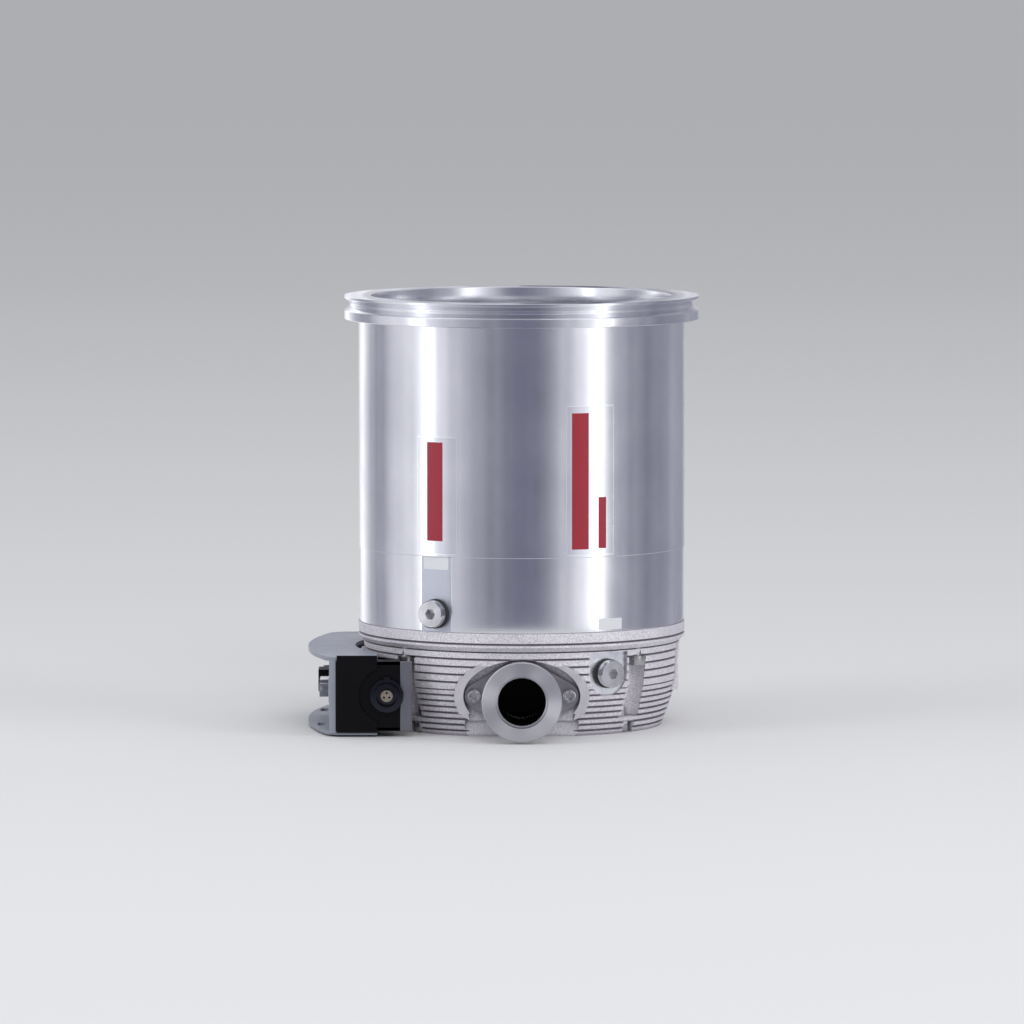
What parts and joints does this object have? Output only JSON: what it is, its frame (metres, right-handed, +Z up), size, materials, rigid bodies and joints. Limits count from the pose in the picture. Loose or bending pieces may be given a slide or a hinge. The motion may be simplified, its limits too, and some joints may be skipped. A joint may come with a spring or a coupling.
{
  "type": "turbomolecular pump",
  "caption": "Vacuum pump with a clamp-flange inlet on a bright tube, a finned base with a foreline port and plugs, and a side drive unit.",
  "frame": {"origin": "on the rotor axis, in the plane that the base stands on", "axes": "+Z up along the rotor axis to the inlet, -Y out of the foreline port, -X towards the drive unit"},
  "size_m": [0.1984, 0.198, 0.218],
  "materials": {
    "inlet_housing": "turned, bright",
    "base_casting": "sand-cast surface, machined faces",
    "housing_seal": "fluoroelastomer",
    "housing_screws": "stainless",
    "foreline_port": "turned stainless steel",
    "foreline_seal": "fluoroelastomer",
    "foreline_screws": "stainless",
    "bottom_cover": "pressed sheet",
    "cover_screws": "stainless",
    "bearing_star": "milled",
    "star_cap": "turned",
    "snap_ring": "spring steel",
    "stator_magnets": "samarium-cobalt, ground",
    "touchdown_bearing": "ground steel",
    "stator_disc_1": "stamped sheet",
    "stator_disc_2": "stamped sheet",
    "stator_disc_3": "stamped sheet",
    "stator_disc_4": "stamped sheet",
    "stator_disc_5": "stamped sheet",
    "spacer_rings": "turned",
    "outer_drag_stator": "milled",
    "inner_drag_stator": "milled",
    "motor_housing": "turned",
    "motor_core": "laminated steel",
    "motor_windings": "enamelled copper",
    "bearing_outer_ring": "ground steel",
    "bearing_damper": "elastomer",
    "spring_washer": "spring steel",
    "bearing_bush": "turned",
    "drive_bracket": "light grey textured paint",
    "drive_case": "black",
    "front_cover": "satin black",
    "drive_socket": "black-chromed brass",
    "socket_insert": "beige insulator",
    "circuit_board": "green laminate",
    "board_parts": "moulded",
    "signal_connector": "plated shell",
    "jack_screws": "plated",
    "power_connector": "moulded",
    "service_connector": "plated",
    "motor_feedthrough": "glass-sealed metal",
    "drive_screws": "stainless",
    "rotor": "milled high-strength alloy",
    "drag_drum": "carbon-fibre tube",
    "shaft": "ground steel",
    "motor_magnet": "sleeved magnet",
    "rotor_magnets": "samarium-cobalt, ground",
    "bearing_inner_ring": "ground steel",
    "shaft_nut": "steel",
    "bearing_cage": "laminated phenolic",
    "bearing_balls": "silicon nitride",
    "vent_seal": "bonded seal washer",
    "vent_screw": "nickel-plated",
    "purge_seal": "bonded seal washer",
    "purge_screw": "nickel-plated"
  },
  "bodies": {
    "pump_case": {"inlet_housing": "inlet_housing", "base_casting": "base_casting", "housing_seal": "housing_seal", "housing_screws": "housing_screws", "foreline_port": "foreline_port", "foreline_seal": "foreline_seal", "foreline_screws": "foreline_screws", "bottom_cover": "bottom_cover", "cover_screws": "cover_screws", "bearing_star": "bearing_star", "star_cap": "star_cap", "snap_ring": "snap_ring", "stator_magnets": "stator_magnets", "touchdown_bearing": "touchdown_bearing", "stator_disc_1": "stator_disc_1", "stator_disc_2": "stator_disc_2", "stator_disc_3": "stator_disc_3", "stator_disc_4": "stator_disc_4", "stator_disc_5": "stator_disc_5", "spacer_rings": "spacer_rings", "outer_drag_stator": "outer_drag_stator", "inner_drag_stator": "inner_drag_stator", "motor_housing": "motor_housing", "motor_core": "motor_core", "motor_windings": "motor_windings", "bearing_outer_ring": "bearing_outer_ring", "bearing_damper": "bearing_damper", "spring_washer": "spring_washer", "bearing_bush": "bearing_bush", "drive_bracket": "drive_bracket", "drive_case": "drive_case", "front_cover": "front_cover", "drive_socket": "drive_socket", "socket_insert": "socket_insert", "circuit_board": "circuit_board", "board_parts": "board_parts", "signal_connector": "signal_connector", "jack_screws": "jack_screws", "power_connector": "power_connector", "service_connector": "service_connector", "motor_feedthrough": "motor_feedthrough", "drive_screws": "drive_screws"},
    "rotor_group": {"rotor": "rotor", "drag_drum": "drag_drum", "shaft": "shaft", "motor_magnet": "motor_magnet", "rotor_magnets": "rotor_magnets", "bearing_inner_ring": "bearing_inner_ring", "shaft_nut": "shaft_nut"},
    "ball_set": {"bearing_cage": "bearing_cage", "bearing_balls": "bearing_balls"},
    "vent_ring": {"vent_seal": "vent_seal"},
    "vent_plug": {"vent_screw": "vent_screw"},
    "purge_ring": {"purge_seal": "purge_seal"},
    "purge_plug": {"purge_screw": "purge_screw"}
  },
  "joints": [
    {"name": "rotor_spin", "type": "hinge", "parent": "pump_case", "child": "rotor_group", "pos_m": [0, 0, 0.1], "axis": [0, 0, 1], "continuous": true},
    {"name": "ball_orbit", "type": "hinge", "parent": "pump_case", "child": "ball_set", "pos_m": [0, 0, 0.033], "axis": [0, 0, 1], "continuous": true},
    {"name": "vent_lift", "type": "slide", "parent": "pump_case", "child": "vent_ring", "axis": [-0.5225, -0.8526, 0], "range_m": [0, 0.00181]},
    {"name": "vent_turn", "type": "hinge", "parent": "vent_ring", "child": "vent_plug", "pos_m": [-0.04487, -0.07322, 0.062], "axis": [-0.5225, -0.8526, 0], "range_deg": [0, 720]},
    {"name": "purge_lift", "type": "slide", "parent": "pump_case", "child": "purge_ring", "axis": [0.5519, -0.8339, 0], "range_m": [0, 0.00181]},
    {"name": "purge_turn", "type": "hinge", "parent": "purge_ring", "child": "purge_plug", "pos_m": [0.04471, -0.06754, 0.0315], "axis": [0.5519, -0.8339, 0], "range_deg": [0, 720]}
  ],
  "couplings": [
    {"joint": "ball_orbit", "follows": "rotor_spin", "ratio": 0.39},
    {"joint": "vent_lift", "follows": "vent_turn", "m_per_rad": 0.00014435},
    {"joint": "purge_lift", "follows": "purge_turn", "m_per_rad": 0.00014435}
  ]
}
